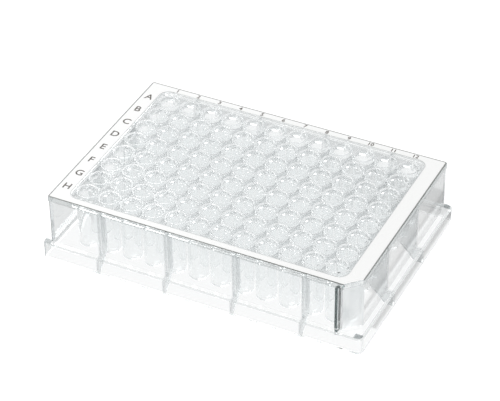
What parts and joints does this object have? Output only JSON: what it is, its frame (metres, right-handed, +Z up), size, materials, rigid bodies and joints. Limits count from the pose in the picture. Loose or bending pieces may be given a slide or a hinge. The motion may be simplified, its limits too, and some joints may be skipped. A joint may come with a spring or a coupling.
{
  "type": "deep well plate",
  "caption": "Clear plastic lab plate with a grid of round-bottomed wells, a hollow skirt on a wider flange, one cut corner and a white printed border.",
  "frame": {"origin": "middle of the footprint, on the surface that the plate stands on", "axes": "+X along the twelve columns from 1 to 12, +Y along the eight rows from H to A, +Z up out of the wells"},
  "size_m": [0.1278, 0.0854, 0.0271],
  "materials": {
    "clear_plastic": "clear, smooth moulded polypropylene",
    "white_print": "satin white printed film"
  },
  "bodies": {
    "root": {"plate": "clear_plastic", "border_print": "white_print"}
  },
  "joints": []
}
